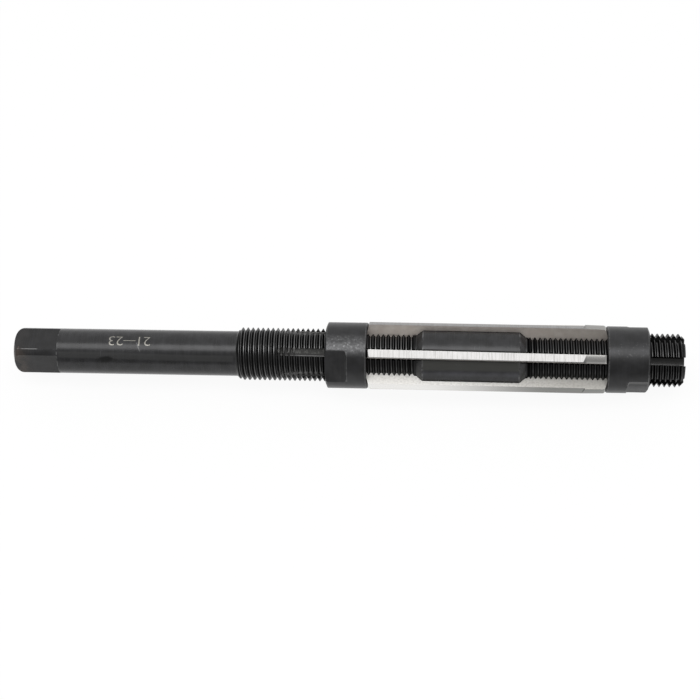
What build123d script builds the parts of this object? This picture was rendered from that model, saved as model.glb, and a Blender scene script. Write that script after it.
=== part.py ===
# Adjustable hand reamer. Six loose blades lie in sloping slots of one turned body, and two nuts
# on its threads hold them by their ends. Screwing both nuts towards the square end draws the
# blades up the slots and makes the reamer larger.
# X is the axis of the tool, from the square end (-X) to the tip (+X). The origin is on the axis,
# halfway along. The reamer is turned about its axis to the way it lies on a flat surface.
# Lengths are in millimetres, angles in degrees, and a turn is counted from +Y towards +Z.

import math
import os

from build123d import *

os.makedirs("parts", exist_ok=True)

# Body, from the square end to the tip
shank_length = 67.1
upper_thread_length = 52.1
neck_length = 1.3
shoulder_length = 1.7
bulge_length = 28.4
lower_thread_length = 44.8
shank_diameter = 13.4
thread_diameter = 15.7
neck_undercut = 0.1
bulge_diameter = 18.75
tip_chamfer = 1.3
square_end_rounding = 2.2

# Square for the tap wrench
square_across_flats = 10.75
square_length = 13.4
square_turn = 81.6

# Centre holes in both ends
centre_pilot_radius = 0.8
centre_cone_radius = 1.675
centre_cone_angle = 60.0
centre_depth = 3.6

# Slots for the blades
blade_count = 6
slot_slope = 2.0
slot_skew = 0.5
slot_floor_radius_at_tip = 2.8
slot_cutter_radius = 60.0
slot_corner_radius = 0.4
slot_side_clearance = 0.03
slot_floor_clearance = 0.03

# Nuts
nut_length = 12.3
nut_diameter = 19.6
nut_thread_clearance = 0.05
nut_rim = 0.7
nut_inner_chamfer = 0.3
nut_outer_chamfer_length = 0.5
nut_outer_chamfer_depth = 1.2
nut_bore_chamfer = 0.3
nut_across_flats = 16.8
nut_flat_length = 6.4
nut_flat_corner_radius = 0.8
upper_nut_turn = 144.5
lower_nut_turn = 193.0

# Blades
blade_opening = 70.05
upper_nut_to_bulge = 16.3
blade_thickness = 2.5
set_diameter = 21.8
largest_diameter = 23.0
blade_end_angle = 75.0
blade_end_clearance = 0.08
blade_corner_radius = 0.8
blade_foot_chamfer_length = 1.5
blade_foot_chamfer_height = 0.6
blade_foot_edge_chamfer = 0.45
margin_width = 0.25
relief_drop = 0.34
lead_length = 6.3
lead_drop = 0.15
relief_runout_slant = 0.9

# Places along the axis that follow from the lengths
body_length = (
    shank_length
    + upper_thread_length
    + 2 * (neck_length + shoulder_length)
    + bulge_length
    + lower_thread_length
)
square_end_x = -body_length / 2
tip_x = body_length / 2
upper_thread_x = square_end_x + shank_length
upper_neck_x = upper_thread_x + upper_thread_length
bulge_x = upper_neck_x + neck_length + shoulder_length
bulge_end_x = bulge_x + bulge_length
lower_thread_x = bulge_end_x + shoulder_length + neck_length
upper_nut_x = bulge_x - upper_nut_to_bulge
lower_nut_x = upper_nut_x + blade_opening
slot_pivot_x = (upper_nut_x + lower_nut_x) / 2

# Radii
shank_radius = shank_diameter / 2
thread_radius = thread_diameter / 2
neck_radius = thread_radius - neck_undercut
bulge_radius = bulge_diameter / 2
set_radius = set_diameter / 2
largest_radius = largest_diameter / 2
nut_radius = nut_diameter / 2
nut_bore_radius = thread_radius + nut_thread_clearance
recess_mouth_radius = nut_radius - nut_rim

# Slot floor and blade foot, as heights over the axis in the middle plane of a slot
slope = math.tan(math.radians(slot_slope))
skew = math.radians(slot_skew)
cone_slope = 1 / math.tan(math.radians(blade_end_angle))


def floor_radius(x):
    return slot_floor_radius_at_tip + (tip_x - x) * slope


def foot_radius(x):
    return floor_radius(x) + slot_floor_clearance


def cone_depth(radius):
    # How far the cone of a nut's recess lies behind the nut's inner face at this radius
    return (recess_mouth_radius - radius) * cone_slope


# Ends of a blade at its foot, where the end bevels meet the sloping foot
upper_foot_x = upper_nut_x + blade_end_clearance - cone_depth(foot_radius(upper_nut_x))
lower_foot_x = lower_nut_x - blade_end_clearance + cone_depth(foot_radius(lower_nut_x))
lead_end_x = lower_nut_x - blade_end_clearance + cone_depth(set_radius)
lead_x = lead_end_x - lead_length

# The floor reaches as far as the blades go when they are set to the largest diameter
upward_travel = (largest_radius - set_radius) / slope
slot_floor_end_x = upper_foot_x + blade_foot_chamfer_length - upward_travel

# Heights of the two corners of a blade's top over the axis
half_thickness = blade_thickness / 2
heel_radius = set_radius - relief_drop
heel_height = math.sqrt(heel_radius**2 - half_thickness**2)


def on_section(turn, across, height):
    # Point of a cross-section, given beside and over the axis in a slot's own directions
    angle = math.radians(turn)
    y = height * math.cos(angle) - across * math.sin(angle)
    z = height * math.sin(angle) + across * math.cos(angle)
    return y, z


# The reamer lies on two neighbouring blades: on the cutting edge of one near the tip, and on the
# heel of the other near the shank. The turn that levels these two corners is its turn at rest.
pitch_turn = 360.0 / blade_count
skew_at_tip_end = (lead_x - slot_pivot_x) * math.tan(skew)
skew_at_shank_end = (upper_nut_x - slot_pivot_x) * math.tan(skew)
edge_across = half_thickness + skew_at_tip_end
edge_height = math.sqrt(set_radius**2 - edge_across**2)
heel_across = skew_at_shank_end - half_thickness
edge_y, edge_z = on_section(270 - pitch_turn / 2, edge_across, edge_height)
heel_y, heel_z = on_section(270 + pitch_turn / 2, heel_across, heel_height)
rest_turn = -math.degrees(math.atan2(heel_z - edge_z, heel_y - edge_y))


def axial_plane(turn):
    # Plane through the axis: local x is the part's X, local y leads away from the axis
    normal = Vector(0, 0, 1).rotate(Axis.X, turn)
    return Plane(origin=(0, 0, 0), x_dir=(1, 0, 0), z_dir=normal)


def slot_plane(turn):
    # Middle plane of a slot: the axial plane, skewed a little about the middle of the blades
    across = Vector(0, 0, 1).rotate(Axis.X, turn)
    axis = Vector(1, 0, 0)
    along = axis * math.cos(skew) + across * math.sin(skew)
    normal = across * math.cos(skew) - axis * math.sin(skew)
    return Plane(origin=axis * slot_pivot_x - along * slot_pivot_x, x_dir=along, z_dir=normal)


# What the cutter takes out for each slot: a straight sloping floor with a small radius along both
# its sides, and the round run-out where the cutter is lifted
overshoot = 1.0
runout_sweep = 35.0
slot_spaces = []
for index in range(blade_count):
    middle = slot_plane(index * pitch_turn + rest_turn)
    with BuildPart() as slot:
        with BuildSketch(middle):
            with BuildLine():
                mouth_x = tip_x + overshoot
                floor = Line(
                    (mouth_x, floor_radius(mouth_x)),
                    (slot_floor_end_x, floor_radius(slot_floor_end_x)),
                )
                runout = JernArc(floor @ 1, floor % 1, slot_cutter_radius, -runout_sweep)
                Polyline(runout @ 1, (mouth_x, (runout @ 1).Y), floor @ 0)
            make_face()
        extrude(amount=half_thickness + slot_side_clearance, both=True)
        slot_floor = slot.faces().sort_by(Axis((0, 0, 0), middle.y_dir))[0]
        fillet(slot_floor.edges().sort_by(SortBy.LENGTH)[-2:], slot_corner_radius)
    slot_spaces.append(slot.part)

# Body: one turned piece with a square at one end, two threads, a bulge between them and the slots
with BuildPart() as reamer_body:
    with BuildSketch(Plane.XY):
        with BuildLine():
            Polyline(
                (square_end_x, 0),
                (square_end_x, shank_radius),
                (upper_thread_x, shank_radius),
                (upper_thread_x + thread_radius - shank_radius, thread_radius),
                (upper_neck_x - neck_undercut, thread_radius),
                (upper_neck_x, neck_radius),
                (upper_neck_x + neck_length, neck_radius),
                (bulge_x, bulge_radius),
                (bulge_end_x, bulge_radius),
                (bulge_end_x + shoulder_length, neck_radius),
                (lower_thread_x, neck_radius),
                (lower_thread_x + neck_undercut, thread_radius),
                (tip_x - tip_chamfer, thread_radius),
                (tip_x, thread_radius - tip_chamfer),
                (tip_x, 0),
                close=True,
            )
        make_face()
    revolve(axis=Axis.X)
    fillet(reamer_body.edges().filter_by(GeomType.CIRCLE).sort_by(Axis.X)[0], square_end_rounding)

    # Square, milled with flat walls where it ends
    square_face = Plane(
        origin=(square_end_x, 0, 0),
        x_dir=Vector(0, 1, 0).rotate(Axis.X, square_turn + rest_turn),
        z_dir=(1, 0, 0),
    )
    with BuildSketch(square_face):
        Circle(shank_radius + overshoot)
        Rectangle(square_across_flats, square_across_flats, mode=Mode.SUBTRACT)
    extrude(amount=square_length, mode=Mode.SUBTRACT)

    for slot_space in slot_spaces:
        add(slot_space, mode=Mode.SUBTRACT)

    # Centre holes
    for end_x, outward in ((square_end_x, -1), (tip_x, 1)):
        with Locations(Plane(origin=(end_x, 0, 0), z_dir=(outward, 0, 0))):
            CounterSinkHole(centre_pilot_radius, centre_cone_radius, centre_depth, centre_cone_angle)

reamer_body.part.label = "reamer_body"
export_step(reamer_body.part, "parts/reamer_body.step")

# Nuts: two equal ones, facing each other, with a cone inside that draws the blades' ends down
nuts = (
    ("upper_nut", upper_nut_x, -1, upper_nut_turn),
    ("lower_nut", lower_nut_x, 1, lower_nut_turn),
)
for name, face_x, outward, turn in nuts:
    outer_x = face_x + outward * nut_length
    wall_x = outer_x - outward * nut_flat_length
    outer_chamfer_radius = nut_radius - nut_outer_chamfer_depth
    with BuildPart() as nut:
        with BuildSketch(Plane.XY):
            with BuildLine():
                Polyline(
                    (face_x + outward * cone_depth(nut_bore_radius), nut_bore_radius),
                    (face_x, recess_mouth_radius),
                    (face_x, nut_radius - nut_inner_chamfer),
                    (face_x + outward * nut_inner_chamfer, nut_radius),
                    (outer_x - outward * nut_outer_chamfer_length, nut_radius),
                    (outer_x, outer_chamfer_radius),
                    (outer_x, nut_bore_radius + nut_bore_chamfer),
                    (outer_x - outward * nut_bore_chamfer, nut_bore_radius),
                    close=True,
                )
            make_face()
        revolve(axis=Axis.X)

        # Two flats for a spanner, with a rounded corner at the wall
        for flat_turn in (turn, turn + 180):
            with BuildSketch(axial_plane(flat_turn + rest_turn)):
                with BuildLine():
                    flat = Line(
                        (outer_x + outward * overshoot, nut_across_flats / 2),
                        (wall_x + outward * nut_flat_corner_radius, nut_across_flats / 2),
                    )
                    corner = JernArc(flat @ 1, flat % 1, nut_flat_corner_radius, -90 * outward)
                    over_y = nut_radius + nut_flat_corner_radius
                    Polyline(corner @ 1, (wall_x, over_y), ((flat @ 0).X, over_y), flat @ 0)
                make_face()
            extrude(amount=nut_radius, both=True, mode=Mode.SUBTRACT)
    nut.part.label = name
    export_step(nut.part, f"parts/{name}.step")

# Blades: a flat plate with a sloping foot and bevelled ends, ground round at the top. Behind a
# narrow round margin the top falls off to the heel, up to the lead before the tip end.
top_overshoot = set_radius + overshoot
for index in range(blade_count):
    name = f"blade_{index + 1}"
    middle = slot_plane(index * pitch_turn + rest_turn)
    with BuildPart() as blade:
        with BuildSketch(middle):
            with BuildLine():
                chamfer_end_x = upper_foot_x + blade_foot_chamfer_length
                chamfer_top = foot_radius(upper_foot_x) + blade_foot_chamfer_height
                Polyline(
                    (chamfer_end_x, foot_radius(chamfer_end_x)),
                    (upper_foot_x + blade_foot_chamfer_height * cone_slope, chamfer_top),
                    (upper_nut_x + blade_end_clearance - cone_depth(top_overshoot), top_overshoot),
                    (lower_nut_x - blade_end_clearance + cone_depth(top_overshoot), top_overshoot),
                    (lower_foot_x, foot_radius(lower_foot_x)),
                    close=True,
                )
            make_face()
        extrude(amount=half_thickness, both=True)
        outwards = Axis((0, 0, 0), middle.y_dir)
        foot_edges = blade.faces().sort_by(outwards)[:2].edges()
        foot_edges = foot_edges.filter_by(Axis((0, 0, 0), middle.z_dir), reverse=True)
        chamfer(foot_edges, blade_foot_edge_chamfer)

        # Round grinding of the top, with the tapered lead at the tip end
        with BuildSketch(Plane.XY, mode=Mode.PRIVATE) as ground:
            with BuildLine():
                Polyline(
                    (upper_foot_x - overshoot, 0),
                    (upper_foot_x - overshoot, set_radius),
                    (lead_x, set_radius),
                    (lead_end_x, set_radius - lead_drop),
                    (lower_foot_x + overshoot, set_radius - lead_drop),
                    (lower_foot_x + overshoot, 0),
                    close=True,
                )
            make_face()
        revolve(ground.sketch, axis=Axis.X, mode=Mode.INTERSECT)
        ends = blade.faces().sort_by(lambda face: face.normal_at().X)
        corners = [end.edges().sort_by(outwards)[-1] for end in (ends[0], ends[-1])]
        fillet(corners, blade_corner_radius)

        # Relief behind the margin: a slanting plane through the heel, ended by the round wheel
        margin_across = half_thickness - margin_width
        margin_height = math.sqrt(set_radius**2 - margin_across**2)
        heel = middle.from_local_coords(Vector(slot_pivot_x, heel_height, -half_thickness))
        margin = middle.from_local_coords(Vector(slot_pivot_x, margin_height, margin_across))
        relief_normal = middle.x_dir.cross(heel - margin).normalized()
        relief = Plane(origin=heel, x_dir=middle.x_dir, z_dir=relief_normal)
        with BuildSketch(relief):
            with BuildLine():
                relief_start = upper_foot_x - slot_pivot_x - overshoot
                relief_end = lead_x - slot_pivot_x
                side = relief.to_local_coords(margin).Y
                ThreePointArc(
                    (relief_end + relief_runout_slant / 2, -side),
                    (relief_end + relief_runout_slant / 2, 0),
                    (relief_end - relief_runout_slant / 2, side),
                )
                Polyline(
                    (relief_end - relief_runout_slant / 2, side),
                    (relief_start, side),
                    (relief_start, -side),
                    (relief_end + relief_runout_slant / 2, -side),
                )
            make_face()
        extrude(amount=overshoot, mode=Mode.SUBTRACT)
    blade.part.label = name
    export_step(blade.part, f"parts/{name}.step")
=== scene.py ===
import math

import bpy
from mathutils import Matrix, Vector


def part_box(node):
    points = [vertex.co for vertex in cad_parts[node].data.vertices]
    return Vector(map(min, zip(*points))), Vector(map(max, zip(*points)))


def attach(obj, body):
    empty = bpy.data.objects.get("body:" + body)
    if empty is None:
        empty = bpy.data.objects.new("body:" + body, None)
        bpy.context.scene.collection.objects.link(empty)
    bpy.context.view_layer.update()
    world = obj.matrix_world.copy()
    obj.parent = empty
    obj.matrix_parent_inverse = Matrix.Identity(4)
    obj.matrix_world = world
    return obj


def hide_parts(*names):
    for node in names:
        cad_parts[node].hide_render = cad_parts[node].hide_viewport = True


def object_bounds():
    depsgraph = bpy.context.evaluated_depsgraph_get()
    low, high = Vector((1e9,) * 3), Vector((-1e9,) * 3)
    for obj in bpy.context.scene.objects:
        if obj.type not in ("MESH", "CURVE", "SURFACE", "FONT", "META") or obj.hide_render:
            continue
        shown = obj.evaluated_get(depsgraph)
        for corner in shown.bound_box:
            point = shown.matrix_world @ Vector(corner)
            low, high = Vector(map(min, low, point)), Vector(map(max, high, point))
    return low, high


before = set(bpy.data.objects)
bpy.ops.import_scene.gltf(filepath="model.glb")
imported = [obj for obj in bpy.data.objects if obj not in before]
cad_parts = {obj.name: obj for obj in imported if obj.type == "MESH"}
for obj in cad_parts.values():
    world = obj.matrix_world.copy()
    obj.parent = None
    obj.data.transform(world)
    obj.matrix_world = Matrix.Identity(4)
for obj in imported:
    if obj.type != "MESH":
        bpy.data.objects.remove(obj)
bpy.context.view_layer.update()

# REAMER BODY
# One bar of tool steel: a shank with a square, two screw threads with a thicker bulge between
# them, and six slots milled along it at a slope. Turned, threaded, milled, then blackened.

MM = 0.001
ROUND = 192

square_end_x, tip_x = (corner.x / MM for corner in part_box("reamer_body"))
shank_length, upper_thread_length, bulge_length = 67.1, 52.1, 28.4
neck_length, shoulder_length = 1.3, 1.7
upper_thread_x = square_end_x + shank_length
upper_neck_x = upper_thread_x + upper_thread_length
bulge_x = upper_neck_x + (neck_length + shoulder_length)
bulge_end_x = bulge_x + bulge_length
lower_thread_x = bulge_end_x + (shoulder_length + neck_length)
shank_radius, thread_radius, neck_radius, bulge_radius = 6.7, 7.85, 7.75, 9.375
neck_undercut = thread_radius - neck_radius
square_end_rounding, bulge_rounding, tip_chamfer = 2.2, 0.18, 1.3
# The turn about its axis at which the reamer comes to rest on two of its blades
rest_turn = -1.715


def pick(piece):
    """Makes one piece the only selected and the active one."""
    bpy.ops.object.select_all(action="DESELECT")
    piece.select_set(True)
    bpy.context.view_layer.objects.active = piece


def name_new(name):
    """Names the primitive that was just added and puts its place into its mesh."""
    piece = bpy.context.object
    piece.name = name
    pick(piece)
    bpy.ops.object.transform_apply(location=True, rotation=True, scale=True)
    return piece


def select(piece, kind, test):
    """Opens a piece in edit mode with the vertices, edges or faces that pass a test on their place."""
    pick(piece)
    bpy.ops.object.mode_set(mode="EDIT")
    bpy.ops.mesh.select_mode(type=kind)
    bpy.ops.mesh.select_all(action="DESELECT")
    bpy.ops.object.mode_set(mode="OBJECT")
    mesh = piece.data
    for part in {"VERT": mesh.vertices, "EDGE": mesh.edges, "FACE": mesh.polygons}[kind]:
        if kind == "VERT":
            corners = [part.co]
        else:
            corners = [mesh.vertices[index].co for index in part.vertices]
        part.select = test([corner / MM for corner in corners])
    bpy.ops.object.mode_set(mode="EDIT")


def leave_edit():
    bpy.ops.object.mode_set(mode="OBJECT")


def apply_modifier(piece, kind, **settings):
    """Adds a modifier with its settings and applies it."""
    pick(piece)
    modifier = piece.modifiers.new(kind.lower(), kind)
    for key, value in settings.items():
        setattr(modifier, key, value)
    bpy.ops.object.modifier_apply(modifier=modifier.name)


def cut(piece, tool, operation="DIFFERENCE", keep_tool=False):
    """Cuts a piece with a closed tool, or keeps only what lies in the tool."""
    apply_modifier(piece, "BOOLEAN", object=tool, operation=operation, solver="MANIFOLD")
    if not keep_tool:
        bpy.data.objects.remove(tool)


def extrude_along(length):
    """Extrudes the selected face along the reamer's axis."""
    bpy.ops.mesh.extrude_region_move(TRANSFORM_OT_translate={"value": (length * MM, 0, 0)})


def turned(name, profile, facets=ROUND):
    """Turns a bar from its first end to its last: one cylinder, then an extrusion for each step."""
    (start_x, start_radius), (next_x, next_radius) = profile[:2]
    bpy.ops.mesh.primitive_cylinder_add(
        vertices=facets,
        radius=start_radius * MM,
        depth=(next_x - start_x) * MM,
        rotation=(0, math.pi / 2, 0),
        location=((start_x + next_x) / 2 * MM, 0, 0),
    )
    bar = name_new(name)
    select(bar, "FACE", lambda corners: len(corners) == facets and corners[0].x > (start_x + next_x) / 2)
    bpy.ops.transform.resize(value=(1, next_radius / start_radius, next_radius / start_radius))
    x, radius = next_x, next_radius
    for end_x, end_radius in profile[2:]:
        extrude_along(end_x - x)
        bpy.ops.transform.resize(value=(1, end_radius / radius, end_radius / radius))
        x, radius = end_x, end_radius
    leave_edit()
    return bar


body = turned(
    "body",
    (
        (square_end_x, shank_radius),
        (upper_thread_x, shank_radius),
        (upper_thread_x + thread_radius - shank_radius, thread_radius),
        (upper_neck_x - neck_undercut, thread_radius),
        (upper_neck_x, neck_radius),
        (upper_neck_x + neck_length, neck_radius),
        (bulge_x, bulge_radius),
        (bulge_end_x, bulge_radius),
        (bulge_end_x + shoulder_length, neck_radius),
        (lower_thread_x, neck_radius),
        (lower_thread_x + neck_undercut, thread_radius),
        (tip_x - tip_chamfer, thread_radius),
        (tip_x, thread_radius - tip_chamfer),
    ),
)


# Two places that are nearer to each other than this are the same
same_place = 0.01


def on_circle(x, radius):
    """Test for the edges of one turned circle."""
    return lambda corners: all(
        abs(corner.x - x) < same_place and abs(math.hypot(corner.y, corner.z) - radius) < same_place
        for corner in corners
    )


def round_over(piece, x, radius, width, segments):
    """Rounds one turned edge over."""
    select(piece, "EDGE", on_circle(x, radius))
    bpy.ops.mesh.bevel(offset=width * MM, segments=segments, affect="EDGES")
    leave_edit()


round_over(body, square_end_x, shank_radius, square_end_rounding, segments=12)
round_over(body, bulge_x, bulge_radius, bulge_rounding, segments=3)
round_over(body, bulge_end_x, bulge_radius, bulge_rounding, segments=3)

# Threads, M16 with a pitch of 1.5 mm, right-hand: each is a groove wound round the bar. The crest
# is left rounded by the die, and the groove runs out shallow towards the neck.
thread_pitch, steps_a_turn = 1.5, 96
# One side of the groove, from its floor up: distance from the groove's middle, and radius
groove_side = ((0.06, 7.00), (0.20, 7.05), (0.59, 7.68), (0.65, 7.77), (0.70, 7.83), (0.745, 7.92))
root_radius = groove_side[0][1]
runout_length, runout_small_radius, runout_large_radius = 2.0, 6.8, 8.8


def thread_groove(name, start_x, turns, runout_x, runout_side):
    """A groove wound from start_x towards the tip; a cone lifts its floor where it runs out."""
    bpy.ops.mesh.primitive_circle_add(vertices=2 * len(groove_side), radius=thread_pitch * MM)
    groove = name_new(name)
    outline = list(groove_side) + [(-x, radius) for x, radius in reversed(groove_side)]
    for vertex, (x, radius) in zip(groove.data.vertices, outline):
        vertex.co = ((start_x + x) * MM, radius * MM, 0)
    apply_modifier(
        groove,
        "SCREW",
        axis="X",
        angle=2 * math.pi,
        screw_offset=thread_pitch * MM,
        iterations=turns,
        steps=steps_a_turn,
        render_steps=steps_a_turn,
    )
    select(groove, "EDGE", lambda corners: False)
    bpy.ops.mesh.select_non_manifold()
    bpy.ops.mesh.fill_holes(sides=0)
    bpy.ops.mesh.select_all(action="SELECT")
    bpy.ops.mesh.normals_make_consistent(inside=False)
    leave_edit()
    bpy.ops.mesh.primitive_cone_add(
        vertices=ROUND,
        radius1=runout_small_radius * MM,
        radius2=runout_large_radius * MM,
        depth=runout_length * MM,
        rotation=(0, runout_side * math.pi / 2, 0),
        location=(runout_x * MM, 0, 0),
    )
    cut(groove, name_new("thread_runout"))
    return groove


upper_groove = thread_groove(
    "upper_groove",
    start_x=upper_thread_x - 1.05,
    turns=36,
    runout_x=upper_neck_x + 1.0,
    runout_side=1,
)
cut(body, upper_groove)
lower_groove = thread_groove(
    "lower_groove",
    start_x=lower_thread_x - 1.2,
    turns=32,
    runout_x=lower_thread_x - 0.9,
    runout_side=-1,
)
cut(body, lower_groove)

# Slots for the blades: cut with a round cutter that is fed along the slope and then lifted out
blade_count, blade_pitch = 6, 60.0
slope_turn, skew_turn = 2.0, 0.5
slope = math.tan(math.radians(slope_turn))
upper_nut_face_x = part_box("upper_nut")[1].x / MM
lower_nut_face_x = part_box("lower_nut")[0].x / MM
slot_pivot_x = (upper_nut_face_x + lower_nut_face_x) / 2
slot_width, slot_height, slot_length = 2.56, 12.0, 112.0
slot_corner_radius, slot_cutter_radius = 0.4, 60.0
cutter_lift_turn, cutter_lift_steps = 25.0, 24
slot_floor_end_x, floor_at_tip = -9.716, 2.8


def floor_height(x):
    """Height of a slot's floor over the axis."""
    return floor_at_tip + (tip_x - x) * slope


def move(piece, x, y=0.0, z=0.0):
    piece.data.transform(Matrix.Translation((x * MM, y * MM, z * MM)))


def rotate(piece, turn, axis="X"):
    """Turns a piece about an axis of the frame; about X a turn counts from +Y towards +Z."""
    piece.data.transform(Matrix.Rotation(math.radians(turn), 4, axis))


def block(name, low, high):
    """A block between two corners."""
    bpy.ops.mesh.primitive_cube_add(size=1)
    made = name_new(name)
    made.data.transform(Matrix.Diagonal([(b - a) * MM for a, b in zip(low, high)] + [1]))
    move(made, *[(a + b) / 2 for a, b in zip(low, high)])
    return made


def close_up(piece, merge_distance):
    """Merges the points that coincide and turns all the faces outwards."""
    select(piece, "VERT", lambda corners: True)
    bpy.ops.mesh.remove_doubles(threshold=merge_distance * MM)
    bpy.ops.mesh.normals_make_consistent(inside=False)
    leave_edit()


def skew(piece):
    """Swings a tool or a blade into its slot's plane, about the middle between the nuts."""
    move(piece, -slot_pivot_x)
    rotate(piece, -skew_turn, "Y")
    move(piece, slot_pivot_x)


def copied(piece):
    """A copy of a piece with its own mesh."""
    copy = piece.copy()
    copy.data = piece.data.copy()
    bpy.context.collection.objects.link(copy)
    return copy


slot_tool = block("slot_tool", (0, 0, -slot_width / 2), (slot_length, slot_height, slot_width / 2))
select(
    slot_tool,
    "EDGE",
    lambda corners: all(corner.y < same_place for corner in corners) and corners[0].z == corners[1].z,
)
bpy.ops.mesh.bevel(offset=slot_corner_radius * MM, segments=5, affect="EDGES")
leave_edit()
select(slot_tool, "FACE", lambda corners: all(corner.x < same_place for corner in corners))
bpy.ops.mesh.spin(
    steps=cutter_lift_steps,
    angle=math.radians(cutter_lift_turn),
    center=(0, slot_cutter_radius * MM, 0),
    axis=(0, 0, 1),
)
leave_edit()
close_up(slot_tool, 0.001)
rotate(slot_tool, -slope_turn, "Z")
move(slot_tool, slot_floor_end_x, floor_height(slot_floor_end_x))
skew(slot_tool)
for index in range(blade_count):
    tool = copied(slot_tool)
    rotate(tool, index * blade_pitch + rest_turn)
    cut(body, tool)
bpy.data.objects.remove(slot_tool)

# Square for the tap wrench: four flats milled with straight walls, the corners left round
square_across, square_length, square_turn = 10.75, 13.4, 81.6
square_wall_x = square_end_x + square_length
square_cut_depth, square_cut_width = 3.0, 15.0
# How far a cutter goes past the end that it cuts
past_end = 1.0
for index in range(4):
    flat_tool = block(
        "flat_tool",
        (square_end_x - past_end, square_across / 2, -square_cut_width / 2),
        (square_wall_x, square_across / 2 + square_cut_depth, square_cut_width / 2),
    )
    rotate(flat_tool, square_turn + 90 * index + rest_turn)
    cut(body, flat_tool)

# Centre holes in both ends, where the bar was held while it was turned and ground
centre_cone_radius, centre_cone_length, centre_cone_turn = 1.675, 1.5155, 60.0
centre_hole_depth, pilot_radius = 3.6, 0.8
cone_past_end, centre_facets = 0.5, 48
for end_x, outward in ((square_end_x, -1), (tip_x, 1)):
    bpy.ops.mesh.primitive_cone_add(
        vertices=centre_facets,
        radius1=(centre_cone_radius + cone_past_end * math.tan(math.radians(centre_cone_turn / 2))) * MM,
        radius2=pilot_radius * MM,
        depth=(centre_cone_length + cone_past_end) * MM,
        rotation=(0, -outward * math.pi / 2, 0),
        location=((end_x - outward * (centre_cone_length - cone_past_end) / 2) * MM, 0, 0),
    )
    centre_tool = name_new("centre_tool")
    select(
        centre_tool,
        "FACE",
        lambda corners: len(corners) == centre_facets
        and abs(math.hypot(corners[0].y, corners[0].z) - pilot_radius) < same_place,
    )
    extrude_along(-outward * (centre_hole_depth - centre_cone_length))
    leave_edit()
    cut(body, centre_tool)

# Size range on the shank, engraved with thin strokes, standing on its head in the usual view
engraving_x, engraving_turn, engraving_depth = -64.0, 89.0, 0.07
dash_length, dash_width, tool_reach = 3.8, 0.24, 1.0
# The font's numerals are this share of its size in height
numeral_height, numeral_share = 3.3, 0.729
numeral_stretch, numeral_spacing, stroke_thinning = 1.14, 0.93, 0.014
size_tool = block(
    "size_tool",
    (-dash_length / 2, 0, -tool_reach),
    (dash_length / 2, dash_width, tool_reach),
)
# Each number and where its middle stands
size_words = (("21", -59.90), ("23", -68.16))
for word, word_x in size_words:
    bpy.ops.object.text_add()
    text = bpy.context.object
    text.data.body = word
    text.data.align_x = "CENTER"
    text.data.align_y = "CENTER"
    text.data.size = numeral_height / numeral_share * MM
    text.data.space_character = numeral_spacing
    text.data.offset = -stroke_thinning * numeral_height * MM
    text.data.extrude = tool_reach * MM
    pick(text)
    bpy.ops.object.convert(target="MESH")
    numerals = name_new("numerals")
    numerals.data.transform(Matrix.Diagonal((numeral_stretch, 1, 1, 1)))
    move(numerals, engraving_x - word_x)
    size_tool.select_set(True)
    bpy.context.view_layer.objects.active = size_tool
    bpy.ops.object.join()
# The words read towards -X, with their tops towards +Z, on a plane that touches the shank at +Y
reading = Matrix(((-1, 0, 0, engraving_x * MM), (0, 0, 1, shank_radius * MM), (0, 1, 0, 0), (0, 0, 0, 1)))
size_tool.data.transform(reading)
rotate(size_tool, engraving_turn)
close_up(size_tool, 0.0005)
core_radius, core_reach = shank_radius - engraving_depth, 12.0
core = turned("core", ((engraving_x - core_reach, core_radius), (engraving_x + core_reach, core_radius)))
cut(size_tool, core)
cut(body, size_tool)


def smooth(piece, edge_turn):
    """Shades a piece smooth, apart from edges sharper than a turn in degrees."""
    pick(piece)
    bpy.ops.object.shade_smooth_by_angle(angle=math.radians(edge_turn))


smooth(body, edge_turn=35)


class Wire:
    """One output of a shader node. Sums and products of wires add the Math nodes that work them out."""

    tree = None

    def __init__(self, output):
        self.output = output

    @classmethod
    def node(cls, kind, settings=None, inputs=None, output=0):
        made = cls.tree.nodes.new(kind)
        for key, value in (settings or {}).items():
            setattr(made, key, value)
        for key, value in (inputs or {}).items():
            if isinstance(value, Wire):
                cls.tree.links.new(value.output, made.inputs[key])
            else:
                made.inputs[key].default_value = value
        return cls(made.outputs[output])

    def other_output(self, output):
        """Another output of the same node."""
        return Wire(self.output.node.outputs[output])

    def math(self, operation, *others):
        return Wire.node("ShaderNodeMath", {"operation": operation}, dict(enumerate((self, *others))))

    def __add__(self, other):
        return self.math("ADD", other)

    def __mul__(self, other):
        return self.math("MULTIPLY", other)

    def __sub__(self, other):
        return self.math("SUBTRACT", other)

    def __rsub__(self, other):
        return Wire.node("ShaderNodeMath", {"operation": "SUBTRACT"}, {0: other, 1: self})

    __radd__, __rmul__ = __add__, __mul__

    def rise(self, low, high):
        """0 under low and 1 over high, smooth between; falls where low is over high."""
        return Wire.node(
            "ShaderNodeMapRange",
            {"interpolation_type": "SMOOTHSTEP"},
            {"Value": self, "From Min": low, "From Max": high},
        )


def mixed(factor, colour_a, colour_b):
    """The first colour where the factor is 0 and the second where it is 1."""
    return Wire.node("ShaderNodeMix", {"data_type": "RGBA"}, {0: factor, 6: colour_a, 7: colour_b}, output=2)


def grey(value, blue=1.0, red=1.0):
    """A grey, tinted by more or less blue and red."""
    return (value * red, value, value * blue, 1)


def noise(vector, scale, detail=2.0, roughness=0.5):
    return Wire.node(
        "ShaderNodeTexNoise", {}, {"Vector": vector, "Scale": scale, "Detail": detail, "Roughness": roughness}
    )


def vector_math(operation, *inputs, output=0):
    return Wire.node("ShaderNodeVectorMath", {"operation": operation}, dict(enumerate(inputs)), output)


def stretched(vector, x, y, z):
    return vector_math("MULTIPLY", vector, (x, y, z))


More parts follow.
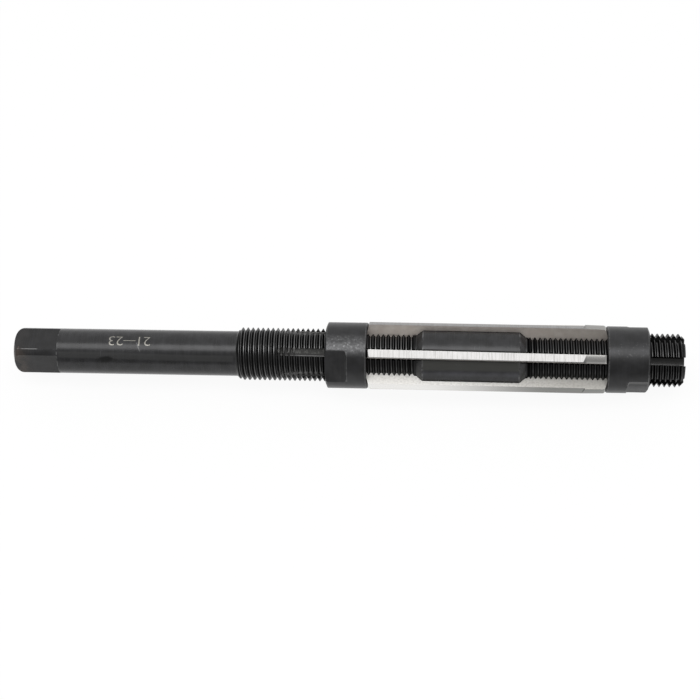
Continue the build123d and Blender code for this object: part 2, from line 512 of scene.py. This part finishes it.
def start_material(name):
    """A new material with its surface shader, and the place on the piece in millimetres."""
    material = bpy.data.materials.new(name)
    material.use_nodes = True
    Wire.tree = material.node_tree
    shader = material.node_tree.nodes["Principled BSDF"]
    place = stretched(Wire.node("ShaderNodeTexCoord", output="Object"), 1 / MM, 1 / MM, 1 / MM)
    x = Wire.node("ShaderNodeSeparateXYZ", {}, {0: place})
    return material, shader, place, x, x.other_output("Y"), x.other_output("Z")


def feed(shader, **inputs):
    """Gives the sockets of a shader their values or wires."""
    for key, value in inputs.items():
        socket = shader.inputs[key.replace("_", " ")]
        if isinstance(value, Wire):
            Wire.tree.links.new(value.output, socket)
        else:
            socket.default_value = value


def fine_bump(height, strength):
    """A bump of at most a fiftieth of a millimetre."""
    return Wire.node("ShaderNodeBump", {}, {"Strength": strength, "Distance": 0.00002, "Height": height})


def give_finish(piece, material):
    piece.data.materials.clear()
    piece.data.materials.append(material)


def turn_within(y, z, middle, step):
    """Turn about the tool's axis in degrees, from the nearest of several middles a step apart."""
    turn = z.math("ARCTAN2", y) * (180 / math.pi) - (middle - step / 2)
    return turn.math("FLOORED_MODULO", step) - step / 2


def across_slot(x, y, z, radius):
    """Distance from the middle plane of the nearest slot."""
    turn = turn_within(y, z, rest_turn, blade_pitch) * (math.pi / 180)
    return turn.math("SINE") * radius - (x - slot_pivot_x) * math.tan(math.radians(skew_turn))


def near(wire, middle, inner, outer):
    """1 within the inner distance of a value, falling to 0 at the outer distance."""
    return (wire - middle).math("ABSOLUTE").rise(outer, inner)


# Blackened steel: dark oxide with fine turning rings, worn to grey on crests and sharp edges
blackened, shader, place, x, y, z = start_material("blackened_steel")
radius = (y * y + z * z).math("SQRT")
turn = turn_within(y, z, 0.0, 360.0)
across = across_slot(x, y, z, radius)
cloud = noise(place, 0.35, 4.0)
rings = noise(stretched(place, 3.2, 0.12, 0.12), 1.0, 3.0)
specks = noise(place, 5.5, 3.0).rise(0.62, 0.78)
streaks = noise(stretched(place, 2.4, 0.9, 0.9), 1.0, 3.0, 0.6).rise(0.5, 0.68)
slot_start_x = -20.0
in_slot = near(across, 0.0, slot_width / 2 - 0.02, slot_width / 2 + 0.02)
in_slot = in_slot * x.rise(slot_start_x - 0.5, slot_start_x + 0.5)
past_upper_thread = x.rise(upper_neck_x + 0.9, upper_neck_x + 1.2)
on_thread = x.rise(upper_thread_x - 0.3, upper_thread_x + 0.3) - past_upper_thread
on_thread = on_thread + x.rise(lower_thread_x - 1.2, lower_thread_x - 0.8)
on_thread = on_thread.math("MAXIMUM", 0.0) * (1 - in_slot)
near_neck = x.rise(upper_neck_x - 1.4, upper_neck_x - 0.8)
near_neck = near_neck * x.rise(lower_thread_x + 2.0, lower_thread_x + 1.4)
near_end = x.rise(upper_thread_x + 1.3, upper_thread_x + 0.7) + x.rise(tip_x - 1.7, tip_x - 1.3)
near_end = near_end.math("MINIMUM", 1.0)
crest = radius.rise(thread_radius - 0.11, thread_radius - 0.02) * on_thread * (1 - near_neck) * (1 - near_end)
root = radius.rise(root_radius + 0.022, root_radius + 0.006) * on_thread
dark = mixed(cloud.rise(0.35, 0.7), grey(0.017, 1.04), grey(0.027, 1.06))
dark = mixed(on_thread * 0.9, dark, grey(0.010))
dark = mixed(rings.rise(0.45, 0.8) * 0.25, dark, grey(0.06, 1.04))
dark = mixed(specks * 0.25, dark, grey(0.10))
dark = mixed(crest * 0.8, dark, grey(0.15))
# The thread roots are painted lighter, a painted highlight of the overhead lamp, weaker towards the tip
dark = mixed(root * (0.85 - x.rise(10.0, 60.0) * 0.45), dark, grey(0.16))
# The ends of both threads are painted darker: painted shade on their sloping ends
dark = mixed(near_end * on_thread * 0.8, dark, grey(0.004))

# The threads are duller on one side. The slots' floors are streaked where they run out, and one
# corner of each slot is worn in places and also painted lighter as a painted highlight
dulled = on_thread * turn.rise(116.0, 126.0) * x.rise(80.0, 76.0)
dark = mixed(dulled * 0.5, dark, grey(0.058))
dark = mixed(in_slot * 0.9, dark, grey(0.009, 0.95, 1.05))
beside_nut = x.rise(-15.5, -12.5)
floor_streaks = (streaks * 0.75 + beside_nut * 0.3) * across.rise(0.5, 0.2) * x.rise(0.0, -4.0)
dark = mixed(in_slot * floor_streaks, dark, grey(0.10, 0.95))
slot_corner_across = 0.98
corner_wear_and_highlight = (beside_nut * 0.3 + x.rise(10.0, 20.0) * 0.55 + 0.15) * (1 - x.rise(84.0, 92.0) * 0.6)
slot_corner_wear_and_highlight = near(across, slot_corner_across, 0.08, 0.24) * in_slot * corner_wear_and_highlight
dark = mixed(slot_corner_wear_and_highlight * (cloud * 0.8 + 0.2), dark, grey(0.20))
# The shoulder between the upper neck and the bulge is painted darker: painted shade
on_shoulder = x.rise(upper_neck_x + 0.9, upper_neck_x + 1.1) * x.rise(bulge_x + 0.1, bulge_x - 0.3)
dark = mixed(on_shoulder * 0.6, dark, grey(0.008))

# The square's edges are rubbed bright here and there, and its end has a brown stain
on_square = x.rise(square_wall_x + 0.05, square_wall_x - 0.05)
on_square = on_square * radius.rise(shank_radius - 0.02, shank_radius - 0.04)
dark = mixed(on_square * 0.45, dark, grey(0.006))
end_edge_x, end_edge_turn = square_end_x + 1.75, 125.0
end_edge = near(x, end_edge_x, 0.06, 0.22) * radius.rise(6.0, 6.3) * near(turn, end_edge_turn, 10.0, 30.0)
dark = mixed(end_edge * 0.7, dark, (0.11, 0.075, 0.06, 1))
square_half_turn = 36.65
square_edge = near(turn_within(y, z, square_turn + rest_turn, 90.0), square_half_turn, 0.4, 1.2)
rubbed_edge = square_edge * radius.rise(6.5, 6.6) * x.rise(square_end_x + 7.9, square_end_x + 7.2)
rubbed_edge = rubbed_edge * noise(place, 0.5, 2.0).rise(0.30, 0.45)
wall_edge = near(x, square_wall_x, 0.08, 0.22) * radius.rise(6.3, 6.6)
wall_edge = wall_edge * noise(place, 0.8, 2.0).rise(0.45, 0.6)
dark = mixed(rubbed_edge * 0.8, dark, grey(0.30))
dark = mixed(wall_edge * 0.5, dark, grey(0.20))
stain = x.rise(square_end_x + 6.2, square_end_x + 1.7) * cloud.rise(0.30, 0.6)
stain = stain * (y.rise(-1.5, -4.0) * 0.85 + 0.15)
dark = mixed(stain * 0.7, dark, (0.056, 0.044, 0.036, 1))

# A dark smudge lies on the shank, a scratch runs from the numeral 1 across the front, and painted
# shade darkens the gaps on both sides of each blade
smudge_middle = (-71.0, -5.13, 4.31)
from_smudge = stretched(vector_math("SUBTRACT", place, smudge_middle), 0.5, 1, 1)
smudge = (vector_math("LENGTH", from_smudge, output="Value") + cloud * 0.8).rise(1.8, 1.0)
dark = mixed(smudge * 0.9, dark, grey(0.003))
scratch_x, scratch_turn, scratch_lean = -61.72, 97.0, 0.046
scratch = near(x - (turn - scratch_turn) * scratch_lean, scratch_x, 0.04, 0.15)
scratch = scratch * turn.rise(94.0, 98.0) * turn.rise(122.0, 113.0)
dark = mixed(scratch * 0.7, dark, grey(0.20))
between_nuts = x.rise(upper_nut_face_x - 0.7, upper_nut_face_x - 0.2)
between_nuts = between_nuts * x.rise(lower_nut_face_x + 0.25, lower_nut_face_x - 0.25)
# Painted shade in the narrow gap along both sides of each blade, between the nuts
gap_shade = near(across, 0.0, 1.62, 1.82) * radius.rise(7.0, 7.3) * between_nuts
dark = mixed(gap_shade, dark, grey(0.003))

# The shank and the bulge carry painted reflections: a paler strip along one side of each, and a
# bluish band on the bulge
on_shank = x.rise(square_wall_x, square_wall_x + 1.0) * x.rise(upper_thread_x - 0.3, upper_thread_x - 1.1)
shank_strip_turn, bulge_strip_turn, bluish_band_turn = 130.0, 134.0, 151.0
strip_bend = x.rise(-80.0, -40.0) * 4.0
shank_reflection_strip = near(turn - strip_bend, shank_strip_turn, 5.0, 11.0) * on_shank * (1 - smudge)
dark = mixed(shank_reflection_strip * 0.6, dark, grey(0.052))
on_bulge = x.rise(bulge_x - 0.1, bulge_x + 0.3) * x.rise(bulge_end_x + 0.1, bulge_end_x - 0.3)
bulge_reflection_strip = near(turn, bulge_strip_turn, 8.0, 15.0) * on_bulge
dark = mixed(bulge_reflection_strip * 0.8, dark, grey(0.060, 0.92))
bluish_reflection_band = near(turn, bluish_band_turn, 1.0, 9.0) * on_bulge
dark = mixed(bluish_reflection_band * (cloud * 0.8), dark, grey(0.060, 1.15))
bulge_edge = near(x, bulge_x + 0.1, 0.12, 0.3) + near(x, bulge_end_x - 0.1, 0.12, 0.3)
bulge_edge = bulge_edge * noise(place, 0.7, 2.0).rise(0.40, 0.6)
dark = mixed(bulge_edge * 0.6, dark, grey(0.13))

# The engraving shows pale metal
engraved_reach = 8.0
engraved = (
    radius.rise(shank_radius - 0.03, shank_radius - 0.06)
    * x.rise(engraving_x - engraved_reach - 0.5, engraving_x - engraved_reach)
    * x.rise(engraving_x + engraved_reach + 0.5, engraving_x + engraved_reach)
    * z.rise(5.0, 5.5)
)
dark = mixed(engraved, dark, grey(0.30, 0.90, 1.04))
roughness = cloud * 0.06 + rings * 0.10 + 0.165
roughness = roughness + on_thread * 0.17 - root * 0.12 + gap_shade * 0.5 + smudge * 0.2
feed(
    shader,
    Base_Color=dark,
    Roughness=roughness,
    Metallic=on_thread * 0.6 + 0.35,
    Normal=fine_bump(rings, 0.12),
)
give_finish(body, blackened)
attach(body, "body")
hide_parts("reamer_body")

# NUTS
# Two equal turned rings of steel that face each other on the threads and clamp the blades' ends in
# a cone inside. Each has two flats for a spanner at its outer end. Blackened, rubbed on the round
# with a painted highlight there.

nut_radius, nut_bore_radius, recess_mouth_radius = 9.8, 7.9, 9.1
nut_length, nut_flat_length, nut_across_flats = 12.3, 6.4, 16.8
inner_chamfer, outer_chamfer_length, outer_chamfer_depth, bore_chamfer = 0.3, 0.5, 1.2, 0.3
inner_rounding, outer_rounding, nut_flat_corner_radius = 0.12, 0.2, 0.8
blade_end_turn = 75.0
cone_slope = 1 / math.tan(math.radians(blade_end_turn))
recess_depth = (recess_mouth_radius - nut_bore_radius) * cone_slope

# Made with the inner face at x = 0 and the outer end towards +X, one flat towards +Y
first_nut = turned(
    "nut",
    (
        (0, nut_radius - inner_chamfer),
        (inner_chamfer, nut_radius),
        (nut_length - outer_chamfer_length, nut_radius),
        (nut_length, nut_radius - outer_chamfer_depth),
    ),
)
round_over(first_nut, inner_chamfer, nut_radius, inner_rounding, segments=2)
round_over(first_nut, nut_length - outer_chamfer_length, nut_radius, outer_rounding, segments=3)
bore = turned(
    "nut_bore",
    (
        (-past_end, recess_mouth_radius + past_end / cone_slope),
        (recess_depth, nut_bore_radius),
        (nut_length - bore_chamfer, nut_bore_radius),
        (nut_length + past_end, nut_bore_radius + bore_chamfer + past_end),
    ),
)
cut(first_nut, bore)
flat_wall_x, flat_height = nut_length - nut_flat_length, nut_across_flats / 2
nut_cut_depth, nut_cut_width = 4.0, 24.0
flat_tool = block(
    "flat_tool",
    (flat_wall_x, flat_height, -nut_cut_width / 2),
    (nut_length + past_end, flat_height + nut_cut_depth, nut_cut_width / 2),
)
select(
    flat_tool,
    "EDGE",
    lambda corners: all(
        corner.x < flat_wall_x + same_place and corner.y < flat_height + same_place for corner in corners
    ),
)
bpy.ops.mesh.bevel(offset=nut_flat_corner_radius * MM, segments=6, affect="EDGES")
leave_edit()
cut(first_nut, flat_tool, keep_tool=True)
rotate(flat_tool, 180)
cut(first_nut, flat_tool)
smooth(first_nut, edge_turn=35)

# Where each nut's inner face is, which way its outer end points, and the turn of one flat
nuts = {"upper_nut": (upper_nut_face_x, -1, 144.5), "lower_nut": (lower_nut_face_x, 1, 193.0)}

# Blackened like the body, rubbed and pitted on the round, with a painted highlight on the rubbed
# patch and with light edges
blackened_nut, shader, place, x, y, z = start_material("blackened_nut_steel")
radius = (y * y + z * z).math("SQRT")
turn = turn_within(y, z, 0.0, 360.0)
cloud = noise(place, 0.3, 4.0)
rings = noise(stretched(place, 5.0, 0.12, 0.12), 1.0, 3.0)
pits = noise(place, 1.5, 5.0, 0.62)
on_round = radius.rise(nut_radius - 0.15, nut_radius - 0.03)
nut_dark = mixed(cloud.rise(0.35, 0.7), grey(0.012, 1.04), grey(0.021, 1.06))
nut_dark = mixed(rings.rise(0.45, 0.8) * 0.3, nut_dark, grey(0.035, 1.04))
more_worn_and_highlit = x.rise(60.0, 30.0) * 0.7 + 0.3
rubbed_highlight_turn, light_edge_turn, nut_flat_half_turn = 101.0, 160.5, 31.0
# The rubbed patch on the round is worn metal and also a painted highlight, centred where the lamp's highlight
# falls and stronger on the upper nut
rubbed_and_highlight = on_round * near(turn, rubbed_highlight_turn, 8.0, 24.0) * (pits.rise(0.30, 0.70) * 0.7 + 0.3)
nut_dark = mixed(rubbed_and_highlight * more_worn_and_highlit * 0.40, nut_dark, grey(0.24, 1.02))
nut_dark = mixed(pits.rise(0.60, 0.72) * rubbed_and_highlight * more_worn_and_highlit * 0.6, nut_dark, grey(0.36))
light_edges = 0
for face_x, outward, flat_turn in nuts.values():
    end_x = face_x + outward * nut_length
    light_edges += near(x, face_x + outward * inner_chamfer, 0.1, 0.3)
    light_edges += near(x, end_x - outward * outer_chamfer_length, 0.1, 0.3)
    from_flat = turn_within(y, z, flat_turn + rest_turn, 180.0)
    beside_flat = near(from_flat, 0.0, nut_flat_half_turn - 3.0, nut_flat_half_turn)
    light_edges += near(x, end_x - outward * nut_flat_length, 0.20, 0.35) * beside_flat
nut_dark = mixed(light_edges * on_round * pits.rise(0.35, 0.6) * 0.45, nut_dark, grey(0.14))
lower_wall_x = lower_nut_face_x + flat_wall_x
flat_edge = near(turn, light_edge_turn, 5.0, 16.0) * radius.rise(nut_radius, nut_radius - 0.08)
flat_edge = flat_edge * x.rise(lower_wall_x + 0.10, lower_wall_x + 0.35)
nut_dark = mixed(flat_edge * 0.62, nut_dark, grey(0.14))
feed(
    shader,
    Base_Color=nut_dark,
    Roughness=pits * 0.14 + 0.42 - on_round * 0.14,
    Metallic=rubbed_and_highlight * 0.5 + 0.35,
    Normal=fine_bump(pits + rings, 0.10),
)
give_finish(first_nut, blackened_nut)
for name, (face_x, outward, flat_turn) in nuts.items():
    nut = copied(first_nut)
    nut.name = name + "_ring"
    if outward < 0:
        rotate(nut, 180, "Z")
    move(nut, face_x)
    rotate(nut, flat_turn + rest_turn)
    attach(nut, name)
    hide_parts(name)
bpy.data.objects.remove(first_nut)

# BLADES
# Six flat plates of hardened steel, ground round on top with a narrow margin behind each cutting
# edge and a relief behind that. Their bevelled ends lie in the cones of the nuts.

set_radius = 10.9
blade_thickness = 2.5
half_thickness = blade_thickness / 2
end_clearance, foot_clearance = 0.08, 0.03
foot_chamfer_length, foot_chamfer_height = 1.5, 0.6
foot_edge_chamfer, foot_edge_reach = 0.45, 5.0
lead_length, lead_drop = 6.3, 0.15
margin_width, relief_drop, relief_runout_slant = 0.25, 0.34, 0.9


def bisect(piece, place, normal):
    """Cuts off what lies on the normal's side of a plane and closes the cut."""
    pick(piece)
    bpy.ops.object.mode_set(mode="EDIT")
    bpy.ops.mesh.select_all(action="SELECT")
    bpy.ops.mesh.bisect(
        plane_co=[value * MM for value in place],
        plane_no=normal,
        use_fill=True,
        clear_outer=True,
    )
    leave_edit()


def foot_height(x):
    """Height of a blade's foot over the axis."""
    return floor_height(x) + foot_clearance


def cone_depth(radius):
    """How far inside a nut's inner face its cone has a radius."""
    return (recess_mouth_radius - radius) * cone_slope


upper_foot_x = upper_nut_face_x + end_clearance - cone_depth(foot_height(upper_nut_face_x))
upper_end_x = upper_nut_face_x + end_clearance - cone_depth(set_radius)
lead_end_x = lower_nut_face_x - end_clearance + cone_depth(set_radius)
lead_x = lead_end_x - lead_length

plate_length, plate_height = 90.0, 13.0
plate = block(
    "blade",
    (slot_pivot_x - plate_length / 2, 0, -half_thickness),
    (slot_pivot_x + plate_length / 2, plate_height, half_thickness),
)
bisect(plate, (slot_pivot_x, foot_height(slot_pivot_x), 0), (-slope, -1, 0))
foot_chamfer_x = upper_foot_x + foot_chamfer_length
foot_chamfer_normal = (
    -foot_chamfer_height - foot_chamfer_length * slope,
    -foot_chamfer_length + foot_chamfer_height * cone_slope,
    0,
)
bisect(plate, (foot_chamfer_x, foot_height(foot_chamfer_x), 0), foot_chamfer_normal)
select(
    plate,
    "EDGE",
    lambda corners: corners[0].z * corners[1].z > 0
    and all(corner.y < floor_height(corner.x) + foot_edge_reach for corner in corners)
    and abs(corners[0].x - corners[1].x) > same_place,
)
bpy.ops.mesh.bevel(offset=foot_edge_chamfer * MM, segments=1, affect="EDGES")
leave_edit()
skew(plate)

# Round grinding of the top and of both ends, done on all the blades together, and the two top
# corners rounded off
cone_end_radius, ground_facets = 1.0, 960
ground = turned(
    "ground",
    (
        (upper_end_x - (set_radius - cone_end_radius) * cone_slope, cone_end_radius),
        (upper_end_x, set_radius),
        (lead_x, set_radius),
        (lead_end_x, set_radius - lead_drop),
        (lead_end_x + (set_radius - cone_end_radius) * cone_slope, cone_end_radius),
    ),
    facets=ground_facets,
)
blade_corner_radius = 0.8
corner_width = blade_corner_radius * math.tan(math.radians(blade_end_turn / 2))
round_over(ground, upper_end_x, set_radius, corner_width, segments=14)
round_over(ground, lead_end_x, set_radius - lead_drop, corner_width, segments=14)
cut(plate, ground, "INTERSECT")

# Relief: a slanting cut behind the margin, ended by the grinding wheel's round edge
heel_height = math.sqrt((set_radius - relief_drop) ** 2 - half_thickness**2)
margin_across = half_thickness - margin_width
margin_height = math.sqrt(set_radius**2 - margin_across**2)
relief_turn = math.degrees(math.atan2(margin_height - heel_height, margin_across + half_thickness))
relief_width = math.hypot(margin_height - heel_height, margin_across + half_thickness)
relief_length, relief_cut_depth = 90.0, 1.0
relief_tool = block("relief_tool", (-relief_length, 0, -relief_width), (0, relief_cut_depth, relief_width))
select(
    relief_tool,
    "EDGE",
    lambda corners: all(corner.x > -same_place for corner in corners)
    and abs(corners[0].z - corners[1].z) > same_place,
)
bpy.ops.mesh.subdivide(number_cuts=15)
leave_edit()
for vertex in relief_tool.data.vertices:
    if vertex.co.x > -same_place * MM:
        side = vertex.co.z / (relief_width * MM)
        vertex.co.x = (0.5 - 0.5 * side - 0.5 * side * side) * relief_runout_slant * MM
rotate(relief_tool, -relief_turn)
move(relief_tool, lead_x, heel_height, -half_thickness)
skew(relief_tool)
cut(plate, relief_tool)
smooth(plate, edge_turn=6)

# Ground steel: fine marks across the bright lands, left by the wheel, and duller mottled sides
ground_steel, shader, place, x, y, z = start_material("ground_steel")
radius = (y * y + z * z).math("SQRT")
across = across_slot(x, y, z, radius)
on_face = across.rise(half_thickness - 0.04, half_thickness - 0.01)
on_heel = across.rise(0.04 - half_thickness, 0.01 - half_thickness)
marks = noise(stretched(place, 2.2, 0.12, 0.12), 1.0, 4.0, 0.7)
cloud = noise(place, 0.4, 3.0)
mottle = noise(place, 1.6, 4.0, 0.6)
front_blade_turn, low_blade_turn = 118.3, 178.3
front_blade = near(turn_within(y, z, front_blade_turn, 360.0), 0.0, 14.0, 18.0)
low_blade = near(turn_within(y, z, low_blade_turn, 360.0), 0.0, 14.0, 18.0)
land = mixed(cloud.rise(0.3, 0.7), (0.261, 0.257, 0.254, 1), (0.280, 0.276, 0.273, 1))
land = mixed(marks.rise(0.46, 0.66) * 0.6, land, (0.185, 0.18, 0.175, 1))
# The lead is painted lighter than the land, and the front blade's lead lighter still towards its lower edge:
# painted highlight
lead_ground = mixed(across.rise(0.5, 1.1) * front_blade, (0.34, 0.335, 0.325, 1), (0.60, 0.59, 0.575, 1))
land = mixed(x.rise(lead_x + 0.1, lead_x + 0.9), land, lead_ground)
# The lowest blade's land is painted in its own tone, much lighter towards the square end: a painted
# reflection of the floor
land = mixed(low_blade, land, (0.24, 0.24, 0.23, 1))
land = mixed(low_blade * x.rise(62.0, 20.0), land, (0.84, 0.83, 0.81, 1))
face = mixed(cloud.rise(0.3, 0.7), (0.54, 0.49, 0.455, 1), (0.62, 0.58, 0.545, 1))
face = mixed(mottle.rise(0.45, 0.75) * 0.4, face, (0.40, 0.365, 0.335, 1))
# The sides are painted darker towards the tip, and the heel sides much lighter towards the square end:
# painted light and shade
face = mixed(x.rise(50.0, 75.0) * 0.4, face, (0.34, 0.32, 0.30, 1))
heel = mixed(x.rise(20.0, 75.0), (0.97, 0.96, 0.93, 1), (0.60, 0.59, 0.56, 1))
heel = mixed(mottle.rise(0.40, 0.75) * (x.rise(25.0, 60.0) * 0.3 + 0.3), heel, (0.42, 0.41, 0.385, 1))
feed(
    shader,
    Base_Color=mixed(on_face, mixed(on_heel, land, heel), face),
    Roughness=marks * 0.08 + 0.18 + (on_face + on_heel) * 0.34,
    Metallic=1.0,
    Normal=fine_bump(marks, 0.1),
)
give_finish(plate, ground_steel)
for index in range(blade_count):
    blade = copied(plate)
    blade.name = f"ground_blade_{index + 1}"
    rotate(blade, index * blade_pitch + rest_turn)
    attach(blade, f"blade_{index + 1}")
    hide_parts(f"blade_{index + 1}")
bpy.data.objects.remove(plate)

# STAGE
# A plain pale floor that the reamer lies on, which the camera, gloss and glass see as white but
# for the shadow. One broad soft lamp hangs overhead, in a pale room that is darker in front.

lowest_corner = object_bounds()[0]
bpy.ops.mesh.primitive_plane_add(size=6, location=(0, 0, lowest_corner.z))
floor = name_new("floor")
floor_finish = bpy.data.materials.new("floor_finish")
floor_finish.use_nodes = True
Wire.tree = floor_finish.node_tree
Wire.tree.nodes.remove(Wire.tree.nodes["Principled BSDF"])
camera_ray = Wire.node("ShaderNodeLightPath", output="Is Camera Ray")
seen = camera_ray + camera_ray.other_output("Is Glossy Ray") + camera_ray.other_output("Is Transmission Ray")
paint = Wire.node("ShaderNodeBsdfDiffuse", {}, {"Color": grey(0.9)})
white = Wire.node("ShaderNodeEmission", {}, {"Color": grey(1.0), "Strength": 1.0})
white_share = seen.math("MINIMUM", 1.0) * 0.93
surface = Wire.node("ShaderNodeMixShader", {}, {0: white_share, 1: paint, 2: white})
Wire.tree.links.new(surface.output, Wire.tree.nodes["Material Output"].inputs["Surface"])
floor.data.materials.append(floor_finish)

bpy.ops.object.light_add(type="AREA", location=(0, -0.05, 0.6))
lamp = bpy.context.object
lamp.name = "overhead_lamp"
lamp.data.shape = "RECTANGLE"
lamp.data.size, lamp.data.size_y = 0.9, 0.28
lamp.data.energy = 2.0
lamp.rotation_euler = (math.radians(-5), 0, 0)

world = bpy.data.worlds.new("room")
bpy.context.scene.world = world
world.use_nodes = True
Wire.tree = world.node_tree
direction = Wire.node("ShaderNodeTexCoord", output="Generated")
towards_back = Wire.node("ShaderNodeSeparateXYZ", {}, {0: direction}, output="Y")
camera_ray = Wire.node("ShaderNodeLightPath", output="Is Camera Ray")
front_strength, back_strength = 0.34, 0.98
strength = towards_back.rise(-0.9, 0.2) * (back_strength - front_strength) + front_strength
strength = strength.math("MAXIMUM", camera_ray)
Wire.tree.links.new(strength.output, Wire.tree.nodes["Background"].inputs["Strength"])
Wire.tree.nodes["Background"].inputs["Color"].default_value = grey(1.0)

# CAMERA
# Looks down at 60 degrees on a tool that lies across the view with its tip a little nearer, from
# half a metre away. It is rolled by almost a degree, so that the tool falls slightly to the right.

looks_down, tip_nearer, roll = math.radians(60), math.radians(4.3), math.radians(0.925)
camera_distance, aim_x, camera_raise = 500.0, 1.30, 1.587
along = Vector((1, 0, 0))
towards_camera = Vector((0, -math.cos(looks_down), math.sin(looks_down)))
backward = towards_camera * math.cos(tip_nearer) + along * math.sin(tip_nearer)
right = along * math.cos(tip_nearer) - towards_camera * math.sin(tip_nearer)
up = backward.cross(right)
right, up = (
    right * math.cos(roll) + up * math.sin(roll),
    up * math.cos(roll) - right * math.sin(roll),
)
place = along * aim_x + backward * camera_distance + up * camera_raise
camera_data = bpy.data.cameras.new("camera")
camera = bpy.data.objects.new("camera", camera_data)
bpy.context.scene.collection.objects.link(camera)
camera_data.sensor_width = 36
camera_data.lens = 86.45
camera_data.clip_start = 0.01
camera.matrix_world = Matrix(
    (
        (right.x, up.x, backward.x, place.x * MM),
        (right.y, up.y, backward.y, place.y * MM),
        (right.z, up.z, backward.z, place.z * MM),
        (0, 0, 0, 1),
    )
)
bpy.context.scene.camera = camera
bpy.context.scene.view_settings.view_transform = "Standard"
